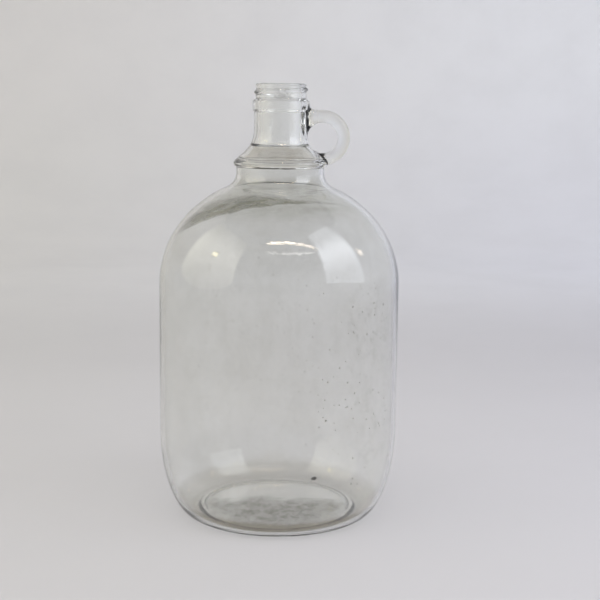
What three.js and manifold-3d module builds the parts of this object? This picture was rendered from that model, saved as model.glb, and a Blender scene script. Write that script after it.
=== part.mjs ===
// A 4 litre glass jug, a small carboy, with a screw-cap neck and a moulded finger ring.
// Millimetres, +Z up. The origin is on the jug's axis, at the surface that it stands on.
// The glass is one piece. It is split here at the levels where its mould changes shape, and
// neighbouring zones meet face to face on flat rings. The finger ring stands clear by SEAM_GAP.
import * as THREE from "three";
import { mergeVertices } from "three/addons/utils/BufferGeometryUtils.js";
import Module from "manifold-3d";

// Body
const BODY_RADIUS = 84;
const WALL = 3.2;
const HEEL_TOP = 62; // the rounded heel ends here and the straight wall starts
const HEEL_INSET = 23.3; // from the wall in to the edge of the bearing ring
const SHOULDER_START = 164;
const SHOULDER_RISE = 74.6; // the upright half-axis of the shoulder's ellipse

// Bottom
const BEARING_INNER = 52; // the jug stands on the flat ring from here out to the heel
const PUSH_UP = 4.5; // the underside's rise at its centre
const PUSH_UP_STEP = 1.2; // its rise just inside the bearing ring
const PUSH_UP_BEVEL = 1.5;
const HEEL_END_DEG = -75; // the inside of the heel follows the outside down to this angle
const HEEL_CORNER = 5; // the inside floor starts this far in from the bearing ring's edge
const FLOOR_EDGE = 3.6; // the height of the inside floor there
const FLOOR_CENTRE = 8.6;

// Collar, where the shoulder turns up into the neck
const COLLAR_RADIUS = 30.4;
const SHOULDER_END_DEG = 64; // the shoulder's ellipse gives way to the flare at this angle
const FLANGE_RADIUS = 32.3;
const FLANGE_EDGE = 2.6; // the radius of the flange's rounded edge
const CONE_DEG = 48.5; // how far the normal of the sloping top leans up

// Neck
const NECK_RADIUS = 18.2;
const BORE_RADIUS = 14.2;
const NECK_CURVE = 20; // the radius of the hollow curve below the neck
const NECK_START = 270;
const STEP_DEG = 27; // how far round the hollow curve the wall steps down below the bore
const STEP_LENGTH_DEG = 3;
const STEP_DEPTH = 1.1;

// Finish: the transfer bead and the standard 38 mm continuous thread
const BEAD_START = 282.5;
const BEAD_RADIUS = 19.4;
const BEAD_LOW_EDGE = 1.5;
const BEAD_SIDE_TOP = 289.6;
const FINISH_START = 291.3;
const FINISH_RADIUS = 17.43;
const RIM = 301.6;
const RIM_OUTER_ROUND = 1;
const RIM_INNER_ROUND = 0.7;
const THREAD_PITCH = 4.23;
const THREAD_DEPTH = 1.2;
const THREAD_HALF_WIDTH = 1.35;
const THREAD_FIRST_Z = 294.2; // the crest's height where the thread starts
const THREAD_FIRST_DEG = 60;
const THREAD_SWEEP_DEG = 385;
const THREAD_FADE_DEG = 25; // it rises from the wall and sinks back over this much of a turn

// Finger ring
const RING_CENTRE_X = 28.85;
const RING_CENTRE_Z = 265.1;
const RING_HOLE = 10.5;
const RING_OUTER = 19;
const RING_HALF_THICKNESS = 4.8;
const SEAM_GAP = 0.3;

// Facets
const BODY_SEGMENTS = 60;
const NECK_SEGMENTS = 48;
const THREAD_SEGMENTS = 60;
const THREAD_ROWS = 13;
const RING_SEGMENTS = 40;
const RING_SECTION_SEGMENTS = 12;
const HOLE_CUT_LENGTH = 40; // longer than the collar is wide where the finger hole meets it
const ON_WALL_TOLERANCE = 0.01;
const MERGE_DISTANCE = 1e-3;

const toRad = THREE.MathUtils.degToRad;
const point = (r, z) => new THREE.Vector2(r, z);

// Points along an ellipse from one angle to another, in degrees from the outward direction.
// offset moves each point along the ellipse's normal, away from the centre when it is positive.
function arc(centre, semiR, semiZ, fromDeg, toDeg, steps, offset = 0) {
  const points = [];
  for (let step = 0; step <= steps; step += 1) {
    const angle = toRad(fromDeg + ((toDeg - fromDeg) * step) / steps);
    const normal = point(semiZ * Math.cos(angle), semiR * Math.sin(angle)).normalize();
    const place = point(semiR * Math.cos(angle), semiZ * Math.sin(angle)).add(centre);
    points.push(place.addScaledVector(normal, offset));
  }
  return points;
}

// The solid swept by a profile about the Z axis. The profile runs up its outer side. It starts
// and ends on the axis, or, as a ring, it closes on itself.
function revolve(profile, segments, isRing) {
  const outline = isRing ? [...profile, profile[0].clone()] : profile;
  const geometry = new THREE.LatheGeometry(outline, segments);
  geometry.rotateX(Math.PI / 2);
  return geometry;
}

// The shoulder's ellipse is followed by an arc that turns it upright at the collar's radius.
function flareAfterShoulder() {
  const centre = point(0, SHOULDER_START);
  const [end] = arc(centre, BODY_RADIUS, SHOULDER_RISE, SHOULDER_END_DEG, SHOULDER_END_DEG, 1);
  const [past] = arc(centre, BODY_RADIUS, SHOULDER_RISE, SHOULDER_END_DEG, SHOULDER_END_DEG, 1, 1);
  const normal = past.sub(end);
  const radius = (end.x - COLLAR_RADIUS) / (1 - normal.x);
  const startDeg = 180 + THREE.MathUtils.radToDeg(Math.atan2(normal.y, normal.x));
  return { centre: end.addScaledVector(normal, radius), radius, startDeg };
}

// The height of the centre of a rounded corner that touches the sloping cone from below.
// coneArc is the radius of the arc that carries the cone on into the neck.
function cornerHeight(centreR, cornerRadius, coneArc) {
  const normal = point(Math.cos(toRad(CONE_DEG)), Math.sin(toRad(CONE_DEG)));
  const onCone = point(NECK_RADIUS + NECK_CURVE, NECK_START).addScaledVector(normal, -coneArc);
  return onCone.y - (cornerRadius + (centreR - onCone.x) * normal.x) / normal.y;
}

const flare = flareAfterShoulder();
const collarBore = COLLAR_RADIUS - WALL;
const neckWall = NECK_RADIUS - BORE_RADIUS;
const neckCurveCentre = point(NECK_RADIUS + NECK_CURVE, NECK_START);

function baseProfile() {
  const domeSteps = 4;
  const heelSteps = 8;
  const heelCentre = point(BODY_RADIUS - HEEL_INSET, HEEL_TOP);
  const domeEdge = BEARING_INNER - PUSH_UP_BEVEL;
  const underside = arc(point(0, PUSH_UP_STEP), domeEdge, PUSH_UP - PUSH_UP_STEP, 90, 0, domeSteps);
  const heel = [heelCentre, HEEL_INSET, HEEL_TOP];
  const floorRadius = heelCentre.x - HEEL_CORNER;
  const floorRise = FLOOR_CENTRE - FLOOR_EDGE;
  return [
    ...underside,
    point(BEARING_INNER, 0),
    ...arc(...heel, -90, 0, heelSteps),
    ...arc(...heel, 0, HEEL_END_DEG, heelSteps, -WALL),
    ...arc(point(0, FLOOR_EDGE), floorRadius, floorRise, 0, 90, domeSteps),
  ];
}

function bodyWallProfile() {
  return [
    point(BODY_RADIUS - WALL, HEEL_TOP),
    point(BODY_RADIUS, HEEL_TOP),
    point(BODY_RADIUS, SHOULDER_START),
    point(BODY_RADIUS - WALL, SHOULDER_START),
  ];
}

function shoulderProfile() {
  const shoulderSteps = 9;
  const flareSteps = 3;
  const centre = point(0, SHOULDER_START);
  const ellipse = [centre, BODY_RADIUS, SHOULDER_RISE];
  const circle = [flare.centre, flare.radius, flare.radius];
  return [
    ...arc(...ellipse, 0, SHOULDER_END_DEG, shoulderSteps),
    ...arc(...circle, flare.startDeg, 180, flareSteps).slice(1),
    ...arc(...circle, 180, flare.startDeg, flareSteps, WALL),
    ...arc(...ellipse, SHOULDER_END_DEG, 0, shoulderSteps, -WALL).slice(1),
  ];
}

// The outside of the collar, from the top of the flare to the start of the neck.
function collarOutside() {
  const edgeSteps = 5;
  const curveSteps = 4;
  const edgeR = FLANGE_RADIUS - FLANGE_EDGE;
  const edgeCentre = point(edgeR, cornerHeight(edgeR, FLANGE_EDGE, NECK_CURVE));
  const edgeStartDeg = -THREE.MathUtils.radToDeg(Math.acos((COLLAR_RADIUS - edgeR) / FLANGE_EDGE));
  return [
    point(COLLAR_RADIUS, flare.centre.y),
    ...arc(edgeCentre, FLANGE_EDGE, FLANGE_EDGE, edgeStartDeg, CONE_DEG, edgeSteps),
    ...arc(neckCurveCentre, NECK_CURVE, NECK_CURVE, 180 + CONE_DEG, 180, curveSteps),
  ];
}

function collarProfile() {
  const cornerSteps = 3;
  const curveSteps = 4;
  const cornerRadius = 3;
  const boreArc = NECK_CURVE + neckWall;
  const insideArc = boreArc - STEP_DEPTH;
  const stepStart = 180 + STEP_DEG;
  const stepEnd = stepStart + STEP_LENGTH_DEG;
  const cornerR = collarBore - cornerRadius;
  const cornerCentre = point(cornerR, cornerHeight(cornerR, cornerRadius, insideArc));
  return [
    ...collarOutside(),
    ...arc(neckCurveCentre, boreArc, boreArc, 180, stepStart, curveSteps),
    ...arc(neckCurveCentre, insideArc, insideArc, stepEnd, 180 + CONE_DEG, curveSteps),
    ...arc(cornerCentre, cornerRadius, cornerRadius, CONE_DEG, 0, cornerSteps),
    point(collarBore, flare.centre.y),
  ];
}

function neckProfile() {
  return [
    point(BORE_RADIUS, NECK_START),
    point(NECK_RADIUS, NECK_START),
    point(NECK_RADIUS, BEAD_START),
    point(BORE_RADIUS, BEAD_START),
  ];
}

function beadProfile() {
  return [
    point(BORE_RADIUS, BEAD_START),
    point(NECK_RADIUS, BEAD_START),
    point(BEAD_RADIUS, BEAD_START + BEAD_LOW_EDGE),
    point(BEAD_RADIUS, BEAD_SIDE_TOP),
    point(FINISH_RADIUS, FINISH_START),
    point(BORE_RADIUS, FINISH_START),
  ];
}

// How far the thread stands out of the finish's wall at an angle about the axis and a height.
function threadHeight(angle, z) {
  const sweep = toRad(THREAD_SWEEP_DEG);
  const fade = toRad(THREAD_FADE_DEG);
  const turn = 2 * Math.PI;
  const first = THREE.MathUtils.euclideanModulo(angle - toRad(THREAD_FIRST_DEG), turn);
  let height = 0;
  for (let along = first; along < sweep; along += turn) {
    const crestZ = THREAD_FIRST_Z + (THREAD_PITCH * along) / turn;
    const across = (z - crestZ) / THREAD_HALF_WIDTH;
    const ends = Math.min(1, along / fade, (sweep - along) / fade);
    height = Math.max(height, THREAD_DEPTH * ends * (1 - across * across));
  }
  return height;
}

function finishGeometry() {
  const roundSteps = 2;
  const outerRound = point(FINISH_RADIUS - RIM_OUTER_ROUND, RIM - RIM_OUTER_ROUND);
  const innerRound = point(BORE_RADIUS + RIM_INNER_ROUND, RIM - RIM_INNER_ROUND);
  const wallRows = [];
  for (let row = 0; row < THREAD_ROWS; row += 1) {
    wallRows.push(point(FINISH_RADIUS, THREE.MathUtils.lerp(FINISH_START, outerRound.y, row / THREAD_ROWS)));
  }
  const profile = [
    point(BORE_RADIUS, FINISH_START),
    ...wallRows,
    ...arc(outerRound, RIM_OUTER_ROUND, RIM_OUTER_ROUND, 0, 90, roundSteps),
    ...arc(innerRound, RIM_INNER_ROUND, RIM_INNER_ROUND, 90, 180, roundSteps),
  ];
  const geometry = revolve(profile, THREAD_SEGMENTS, true);
  const place = geometry.attributes.position;
  const onWall = FINISH_RADIUS - ON_WALL_TOLERANCE;
  for (let i = 0; i < place.count; i += 1) {
    const radius = Math.hypot(place.getX(i), place.getY(i));
    if (radius > onWall) {
      const angle = Math.atan2(place.getY(i), place.getX(i));
      const grown = 1 + threadHeight(angle, place.getZ(i)) / radius;
      place.setXY(i, place.getX(i) * grown, place.getY(i) * grown);
    }
  }
  return geometry;
}

// A closed geometry as a manifold-3d solid, and back.
function toSolid(wasm, geometry) {
  const bare = geometry.clone();
  bare.deleteAttribute("normal");
  bare.deleteAttribute("uv");
  const merged = mergeVertices(bare, MERGE_DISTANCE);
  const triangles = [];
  const index = merged.index.array;
  for (let i = 0; i < index.length; i += 3) {
    const [a, b, c] = index.slice(i, i + 3);
    if (a !== b && b !== c && c !== a) triangles.push(a, b, c);
  }
  return new wasm.Manifold(new wasm.Mesh({
    numProp: 3,
    vertProperties: merged.attributes.position.array,
    triVerts: new Uint32Array(triangles),
  }));
}

function toGeometry(solid) {
  const mesh = solid.getMesh();
  const geometry = new THREE.BufferGeometry();
  geometry.setAttribute("position", new THREE.BufferAttribute(mesh.vertProperties, 3));
  geometry.setIndex(new THREE.BufferAttribute(mesh.triVerts, 1));
  geometry.computeVertexNormals();
  return geometry;
}

// The room that the collar, neck and bead take up, with the seam's gap round it.
function neckKeepOut() {
  const outside = [
    ...collarOutside(),
    point(NECK_RADIUS, BEAD_START),
    point(BEAD_RADIUS, BEAD_START + BEAD_LOW_EDGE),
    point(BEAD_RADIUS, BEAD_SIDE_TOP),
  ];
  const grown = outside.map((p) => point(p.x + SEAM_GAP, p.y));
  return revolve([point(0, grown[0].y), ...grown, point(0, BEAD_SIDE_TOP)], NECK_SEGMENTS, false);
}

// The finger hole is a full circle, so it takes a shallow bite out of the collar's side.
function collarGeometry(wasm) {
  const hole = new THREE.CylinderGeometry(RING_HOLE, RING_HOLE, HOLE_CUT_LENGTH, RING_SEGMENTS);
  hole.translate(RING_CENTRE_X, 0, RING_CENTRE_Z);
  const collar = toSolid(wasm, revolve(collarProfile(), NECK_SEGMENTS, true));
  return toGeometry(collar.subtract(toSolid(wasm, hole)));
}

// A ring of oval section whose upper side runs straight into the neck, cut back from the neck.
function ringHandleGeometry(wasm) {
  const middle = (RING_HOLE + RING_OUTER) / 2;
  const halfWidth = (RING_OUTER - RING_HOLE) / 2;
  const section = arc(point(middle, 0), halfWidth, RING_HALF_THICKNESS, 0, 360, RING_SECTION_SEGMENTS);
  section.pop();
  const ring = revolve(section, RING_SEGMENTS, true);
  ring.rotateX(Math.PI / 2);
  ring.translate(RING_CENTRE_X, 0, RING_CENTRE_Z);

  const bridgeShape = new THREE.Shape(section.map((p) => point(p.y, p.x)));
  const bridge = new THREE.ExtrudeGeometry(bridgeShape, { depth: RING_CENTRE_X, bevelEnabled: false });
  bridge.applyMatrix4(new THREE.Matrix4().makeBasis(
    new THREE.Vector3(0, 1, 0),
    new THREE.Vector3(0, 0, 1),
    new THREE.Vector3(1, 0, 0),
  ));
  bridge.translate(0, 0, RING_CENTRE_Z);

  const joined = toSolid(wasm, ring).add(toSolid(wasm, bridge));
  const cut = joined.subtract(toSolid(wasm, neckKeepOut()));
  return toGeometry(cut);
}

const wasm = await Module();
wasm.setup();

const zones = {
  base: revolve(baseProfile(), BODY_SEGMENTS, false),
  body_wall: revolve(bodyWallProfile(), BODY_SEGMENTS, true),
  shoulder: revolve(shoulderProfile(), BODY_SEGMENTS, true),
  collar: collarGeometry(wasm),
  neck: revolve(neckProfile(), NECK_SEGMENTS, true),
  transfer_bead: revolve(beadProfile(), NECK_SEGMENTS, true),
  finish: finishGeometry(),
  ring_handle: ringHandleGeometry(wasm),
};

const jug = new THREE.Group();
for (const [name, geometry] of Object.entries(zones)) {
  const glass = new THREE.MeshStandardMaterial({
    color: 0xc9cfca,
    roughness: 0.06,
    metalness: 0,
    transparent: true,
    opacity: 0.35,
  });
  const mesh = new THREE.Mesh(geometry, glass);
  mesh.name = name;
  jug.add(mesh);
}

export default jug;
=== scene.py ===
"""The looks of the glass jug: one clear glass mesh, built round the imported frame, on a pale sweep."""
import math

import bpy
import numpy as np
from mathutils import Matrix, Vector


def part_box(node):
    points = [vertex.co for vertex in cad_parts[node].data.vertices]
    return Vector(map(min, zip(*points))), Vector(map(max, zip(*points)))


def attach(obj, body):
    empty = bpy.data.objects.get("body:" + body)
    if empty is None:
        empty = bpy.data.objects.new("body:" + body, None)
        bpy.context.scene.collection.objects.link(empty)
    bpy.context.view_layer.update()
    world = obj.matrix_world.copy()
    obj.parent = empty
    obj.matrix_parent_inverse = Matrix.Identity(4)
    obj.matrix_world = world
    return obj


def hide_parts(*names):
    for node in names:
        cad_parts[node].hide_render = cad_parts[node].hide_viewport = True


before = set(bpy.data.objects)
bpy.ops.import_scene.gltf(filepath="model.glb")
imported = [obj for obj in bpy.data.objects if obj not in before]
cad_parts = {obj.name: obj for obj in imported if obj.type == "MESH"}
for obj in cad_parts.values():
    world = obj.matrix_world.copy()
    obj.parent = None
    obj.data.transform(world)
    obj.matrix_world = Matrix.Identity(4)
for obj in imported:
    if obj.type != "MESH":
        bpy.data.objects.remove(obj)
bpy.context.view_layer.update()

MM = 0.001
HIGH = 1  # the highest corner of a box


def level(node):
    """The height of a CAD node's top, in millimetres."""
    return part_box(node)[HIGH].z / MM


def reach(node):
    """How far a CAD node goes out along +X, in millimetres."""
    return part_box(node)[HIGH].x / MM


# Levels and radii of the glass's zones, in millimetres, from the frame
BODY_RADIUS = reach("body_wall")
FLANGE_RADIUS = reach("collar")
NECK_RADIUS = reach("neck")
BEAD_RADIUS = reach("transfer_bead")
HEEL_TOP = level("base")
SHOULDER_START = level("body_wall")
NECK_START = level("collar")
BEAD_START = level("neck")
FINISH_START = level("transfer_bead")
RIM = level("finish")

# The rest of the jug's section, in millimetres
WALL = 3.2
HEEL_INSET = 23.3
SHOULDER_RISE = 74.6
SHOULDER_END = 64.0  # degrees
BEARING_INNER = 52.0
BEARING_CROWN = 0.35  # the bearing ring's edges lift this much off the floor
BEARING_FILLET = 2.0
PUSH_UP = 4.5
PUSH_UP_STEP = 1.2
PUSH_UP_END = 12.0  # degrees
FLOOR_EDGE = 3.6
FLOOR_CENTRE = 8.6
HEEL_END = -75.0  # degrees, where the inside of the heel turns into the floor
HEEL_RUN = 3.0  # how far it runs on from there to the middle of the corner
HEEL_CORNER = 5.0  # the inside corner between heel and floor
COLLAR_RADIUS = 30.4
UNDER_FLANGE = 0.4  # the width of the ledge under the flange, inside its rounded edge
UNDER_FLANGE_CORNER = 0.35
FLANGE_EDGE = 2.6
CONE_LEAN = 48.5  # degrees
INNER_CORNER = 3.0
BORE_RADIUS = 14.2
NECK_CURVE = 20.0
STEP_START = 27.0  # degrees round the hollow curve, where the wall steps down below the bore
STEP_LENGTH = 3.0  # degrees
STEP_DEPTH = 1.1
BEAD_SIDE_START = BEAD_START + 1.5
BEAD_SIDE_TOP = 289.6
BEAD_CORNER = 0.7
BELOW_BEAD_CORNER = 0.9
ABOVE_BEAD_CORNER = 0.8
FINISH_RADIUS = 17.43
LIP_OUTER = 1.1
LIP_INNER = 0.9

# The 38 mm thread
THREAD_PITCH = 4.23
THREAD_DEPTH = 1.2
THREAD_HALF_WIDTH = 1.45
THREAD_FIRST_Z = 294.2
THREAD_FIRST = math.radians(60)
THREAD_SWEEP = math.radians(385)
THREAD_FADE = math.radians(25)
THREAD_SHARPNESS = 1.3

# Finger ring
RING_OUTER = 19.0
RING_HOLE = 10.5
RING_HALF_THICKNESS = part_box("ring_handle")[HIGH].y / MM
RING_X = reach("ring_handle") - RING_OUTER
RING_Z = level("ring_handle") - RING_OUTER
RING_SQUARENESS = 2.4  # 2 is a plain oval section, and more is flatter sided
BEAD_BLEND = 5.0  # how far the ring's top flows into the bead
ROOT_BLEND = 1.4  # the same, for the ring's roots in the neck
HOLE_BLEND = 0.8  # the same, along the finger hole
HOLE_BLEND_REACH = 4.0
BITE_BLEND = 1.0  # how softly the finger hole's bite meets the collar
LEVEL_RUN_END = math.radians(125)  # how far round from the bead the ring's top runs level
CORE_DEPTH = 2.0  # the ring's roots end this deep in the neck's wall
CORE_BOTTOM = 234.0
CORE_TOP = 292.0
MOST_SETTLING = 3.0  # no vertex moves further than this when the blends are formed
BEAD_BLEND_RISE = 8.0  # the blend widens from ROOT_BLEND to BEAD_BLEND over this height

# The blends are formed only within this box round the ring's roots, in millimetres
BLEND_INNER_X = 10.0
BLEND_HALF_WIDTH = 16.0
BLEND_BOTTOM = 241.0
BLEND_TOP = 296.0

# Mesh spacing, in millimetres
BODY_STEP = 3.0
INNER_SHOULDER_STEP = 2.6
CURVE_STEP = 2.4
BORE_STEP = 0.95
CORNER_STEP = 0.8
NECK_STEP = 0.65
FLANGE_STEP = 0.5
LEDGE_STEP = 0.4
MOUTH_STEP = 0.35
LIP_STEP = 0.3
COLUMNS = 160
SEAM_COLUMNS = np.radians([0.15, 0.3, 0.6, 1.1])  # extra columns this far on either side of a seam
RING_AROUND = 200
RING_ACROSS = 36
LIP_ROWS = 4  # the film starts this many rows inside the rim

LIGHT_PASSED = 0.92  # the share of the light that each surface of the glass lets through to the floor

# Irregularity of blown glass, in millimetres
OUTER_WAVE = 0.07
OUTER_WAVE_LENGTH = 70
INNER_WAVE = 0.09
INNER_WAVE_LENGTH = 130
INNER_DETAIL = 0.3  # the share that smaller waves add to the inner one
INNER_DETAIL_LENGTH = 60
NECK_WAVE = 0.3  # the share of the inner wave that is left in the neck
WAVE_PEAK = 1.6  # no outer wave is higher than this many times OUTER_WAVE
FLAT_BOTTOM = 1.5  # the outside below this height has no waves
WAVE_FADE = 8.0
NECK_FADE = 20.0
SEAM_HEIGHT = 0.12
SEAM_WIDTH = 0.4

GLASS_IOR = 1.52
GLASS_COLOUR = (0.80, 0.90, 0.80, 1)
GLASS_DENSITY = 5.0  # how strongly a metre of glass takes on that colour

# Tints of the glass's surface, of what has dried on it, of a brown line round the heel, and of painted
# shade under the flange and in the cone, the lowest layer first
CLEAN_TINT = (0.99, 0.995, 0.985, 1)
FILM_TINT = (0.81, 0.81, 0.775, 1)
HAZE_TINT = (0.53, 0.525, 0.455, 1)
SIDE_TINT = (0.70, 0.70, 0.66, 1)
CRESCENT_TINT = (0.17, 0.165, 0.105, 1)
SPOT_TINT = (0.05, 0.05, 0.03, 1)
BOTTOM_TINT = (0.87, 0.85, 0.78, 1)
HEEL_TINT = (0.32, 0.28, 0.20, 1)
FLOOR_TINT = (0.09, 0.08, 0.05, 1)
# Partly film, partly painted shade of the dim ceiling mirrored in the cone
CONE_FILM_AND_SHADE_TINT = (0.70, 0.665, 0.58, 1)
SMUDGE_TINT = (0.45, 0.45, 0.44, 1)
SPECK_TINT = (0.26, 0.24, 0.20, 1)
# Painted shade for the crease under the flange
CREASE_SHADE_TINT = (0.02, 0.018, 0.012, 1)
FLAKE_TINT = (0.004, 0.003, 0.002, 1)
FLAKE_PLACE = (28.0, 57.0, 5.0)
DEPOSIT_ROUGHNESS = 0.30
LOW_FILM_ROUGHNESS = 0.06
RING_ROUGHNESS = 0.28

# The sweep, in metres, and its colours on the left and on the right, which hold painted light: warm on the
# left, cool on the right, and lighter at the back and up the wall
SWEEP_FLOOR = 1.5
SWEEP_BEND = 0.8
SWEEP_TOP = 3.2
SWEEP_DROP = 0.0003  # the floor lies this much below the jug, so that the two never coincide
SWEEP_COLUMNS = 96
SWEEP_BEND_ROWS = 24
NEAR_CLOTH_WITH_PAINTED_LIGHT = (0.605, 0.595, 0.57, 1), (0.60, 0.60, 0.655, 1)
FAR_CLOTH_WITH_PAINTED_LIGHT = (0.75, 0.74, 0.71, 1), (0.84, 0.855, 0.93, 1)
RISING_CLOTH_WITH_PAINTED_LIGHT = (0.77, 0.755, 0.735, 1), (0.90, 0.92, 0.98, 1)
# Painted shade of faint folds in the cloth
FOLD_SHADE = (0.5, 0.5, 0.52, 1)
# Painted shade of the dim room far in front
DIM_ROOM_SHADE = (0.10, 0.10, 0.11, 1)

# Lines of light: their points lie on a sphere round a point in the shoulder
LINE_CENTRE = Vector((0, 0, 0.19))
LINE_POINTS = 80
LINE_WANDER = 1.3  # degrees
LINE_UNEVENNESS = 0.6
LINE_SMOOTHING = np.ones(5) / 5
LINE_END = 6  # points over which a line's ends narrow

# The camera, in metres and degrees. It stands in front of the jug's axis and looks down.
CAMERA_PLACE = (0, -0.84468, 0.28056)
CAMERA_YAW = 0.998
CAMERA_PITCH = 8.673
CAMERA_ROLL = 0.7085
CAMERA_LENS = 72.795  # millimetres, on a sensor 36 mm wide


# ---- section of the jug -------------------------------------------------------------------


def arc(centre, semi_r, semi_z, start, end, step, offset=0.0):
    """Points along an ellipse from start to end, in degrees from the outward direction.
    offset moves them along the ellipse's normal, away from its centre when it is positive."""
    length = math.radians(abs(end - start)) * (semi_r + semi_z) / 2
    count = max(4, math.ceil(length / step))
    angle = np.radians(np.linspace(start, end, count + 1))
    normal = np.stack([semi_z * np.cos(angle), semi_r * np.sin(angle)], 1)
    normal /= np.linalg.norm(normal, axis=1, keepdims=True)
    place = np.stack([semi_r * np.cos(angle), semi_z * np.sin(angle)], 1)
    return place + np.array(centre) + offset * normal


def circle(centre, radius, start, end, step, offset=0.0):
    return arc(centre, radius, radius, start, end, step, offset)


def rounded(corners, step):
    """A path through corners (r, z, radius), with an arc of that radius at each corner."""
    path = [np.array(corners[0][:2])]
    for before, corner, after in zip(corners, corners[1:], corners[2:]):
        here = np.array(corner[:2])
        way_in = here - np.array(before[:2])
        way_out = np.array(after[:2]) - here
        way_in = way_in / np.linalg.norm(way_in)
        way_out = way_out / np.linalg.norm(way_out)
        turn = math.atan2(way_in[0] * way_out[1] - way_in[1] * way_out[0], way_in @ way_out)
        radius = corner[2]
        start = here - way_in * radius * math.tan(abs(turn) / 2)
        side = np.array([-way_in[1], way_in[0]]) * math.copysign(radius, turn)
        count = max(3, math.ceil(abs(turn) * radius / step))
        for share in np.linspace(0, 1, count + 1):
            c, s = math.cos(turn * share), math.sin(turn * share)
            x, y = -side
            path.append(start + side + np.array([c * x - s * y, s * x + c * y]))
    path.append(np.array(corners[-1][:2]))
    return np.array(path)


def divided(path, step):
    """The same path with no two points further apart than step, and no two alike."""
    points = [path[0]]
    for a, b in zip(path, path[1:]):
        length = np.linalg.norm(b - a)
        if length < 1e-4:
            continue
        count = math.ceil(length / step)
        points += [a + (b - a) * k / count for k in range(1, count + 1)]
    return np.array(points)


def unit(angle):
    return np.array([math.cos(math.radians(angle)), math.sin(math.radians(angle))])


def flare():
    """Centre, radius and first angle of the arc that turns the shoulder up into the collar."""
    centre = (0, SHOULDER_START)
    end = arc(centre, BODY_RADIUS, SHOULDER_RISE, SHOULDER_END, SHOULDER_END, BODY_STEP)[0]
    past = arc(centre, BODY_RADIUS, SHOULDER_RISE, SHOULDER_END, SHOULDER_END, BODY_STEP, 1.0)[0]
    normal = past - end
    radius = (end[0] - COLLAR_RADIUS) / (1 - normal[0])
    return end + normal * radius, radius, 180 + math.degrees(math.atan2(normal[1], normal[0]))


def corner_height(centre_r, corner_radius, cone_arc):
    """The height of the centre of a rounded corner that touches the cone below the neck."""
    normal = unit(CONE_LEAN)
    on_cone = np.array([NECK_RADIUS + NECK_CURVE, NECK_START]) - normal * cone_arc
    return on_cone[1] - (corner_radius + (centre_r - on_cone[0]) * normal[0]) / normal[1]


def outer_section():
    """The outside, from the centre of the bottom to the top of the rim."""
    flare_centre, flare_radius, flare_start = flare()
    push_up_radius = BEARING_INNER - BEARING_FILLET
    bottom = np.concatenate([
        arc((0, PUSH_UP_STEP), push_up_radius, PUSH_UP - PUSH_UP_STEP, 90, PUSH_UP_END, BODY_STEP),
        rounded([
            (push_up_radius, PUSH_UP_STEP + 0.5, 0),
            (BEARING_INNER - 0.6, BEARING_CROWN, 1.5),
            (BEARING_INNER + 1.5, 0, BEARING_FILLET),
            (BODY_RADIUS - HEEL_INSET - BEARING_FILLET, 0, BEARING_FILLET),
            (BODY_RADIUS - HEEL_INSET, 0, 0),
        ], CORNER_STEP),
    ])
    heel = arc((BODY_RADIUS - HEEL_INSET, HEEL_TOP), HEEL_INSET, HEEL_TOP, -90, 0, CURVE_STEP)
    shoulder = arc((0, SHOULDER_START), BODY_RADIUS, SHOULDER_RISE, 0, SHOULDER_END, CURVE_STEP)
    turn_up = circle(flare_centre, flare_radius, flare_start, 180, NECK_STEP)
    body = divided(np.concatenate([bottom, heel, shoulder]), BODY_STEP)

    edge_r = FLANGE_RADIUS - FLANGE_EDGE
    edge_z = corner_height(edge_r, FLANGE_EDGE, NECK_CURVE)
    under = -math.degrees(math.acos((COLLAR_RADIUS + UNDER_FLANGE - edge_r) / FLANGE_EDGE))
    flange = circle((edge_r, edge_z), FLANGE_EDGE, under, CONE_LEAN, FLANGE_STEP)
    neck_curve = circle(
        (NECK_RADIUS + NECK_CURVE, NECK_START), NECK_CURVE, 180 + CONE_LEAN, 180, NECK_STEP
    )
    under_flange = rounded([
        (COLLAR_RADIUS, flare_centre[1], 0),
        (COLLAR_RADIUS, flange[0][1], UNDER_FLANGE_CORNER),
        tuple(flange[0]) + (0,),
    ], LEDGE_STEP)
    mouth = rounded([
        (NECK_RADIUS, NECK_START, 0),
        (NECK_RADIUS, BEAD_START, BELOW_BEAD_CORNER),
        (BEAD_RADIUS, BEAD_SIDE_START, BEAD_CORNER),
        (BEAD_RADIUS, BEAD_SIDE_TOP, BEAD_CORNER),
        (FINISH_RADIUS, FINISH_START, ABOVE_BEAD_CORNER),
        (FINISH_RADIUS, RIM, LIP_OUTER),
        ((FINISH_RADIUS + BORE_RADIUS) / 2, RIM, 0),
    ], MOUTH_STEP)
    neck = divided(np.concatenate([turn_up, under_flange, flange, neck_curve, mouth]), NECK_STEP)
    return body, neck


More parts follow.
